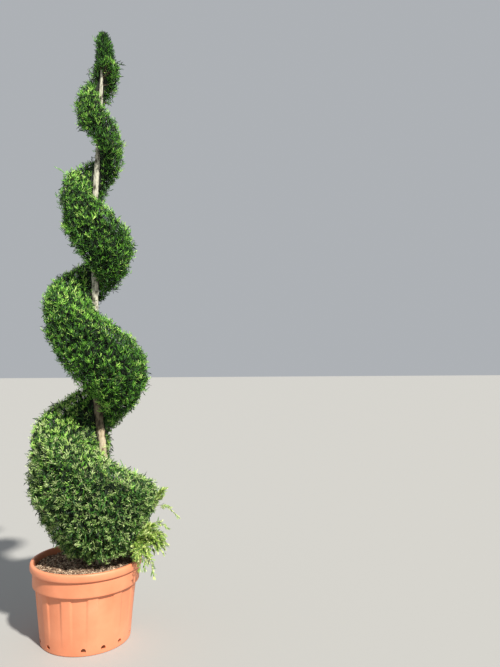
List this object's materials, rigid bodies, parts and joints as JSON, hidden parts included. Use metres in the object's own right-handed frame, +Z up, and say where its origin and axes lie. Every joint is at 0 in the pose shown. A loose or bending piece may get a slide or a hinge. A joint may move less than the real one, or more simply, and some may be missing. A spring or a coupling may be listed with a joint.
{
  "type": "spiral topiary",
  "caption": "Conifer clipped into a spiral that winds down round its bare trunk, with one unclipped tuft at its foot, in a round fluted planter.",
  "frame": {"origin": "middle of the planter's flat underside", "axes": "+Z up, -Y towards the side that the picture shows, +X to the right of that view"},
  "size_m": [0.8136, 0.6789, 3.4315],
  "materials": {
    "planter": "terracotta-coloured moulded plastic, satin",
    "soil": "moist potting soil with bark chips",
    "bark": "pale peeling bark",
    "foliage": "dense clipped scale-leaf sprays",
    "foliage_young": "soft yellow-green unclipped sprays"
  },
  "bodies": {
    "root": {"pot": "planter", "soil": "soil", "trunk": "bark", "bough_low_right": "bark", "foliage_spiral_01": "foliage", "foliage_spiral_02": "foliage", "foliage_spiral_03": "foliage", "foliage_spiral_04": "foliage", "foliage_spiral_05": "foliage", "foliage_spiral_06": "foliage", "foliage_spiral_07": "foliage", "foliage_spiral_08": "foliage", "foliage_base_09": "foliage", "foliage_base_10": "foliage", "foliage_tip": "foliage", "foliage_unclipped_tuft": "foliage_young"}
  },
  "joints": []
}
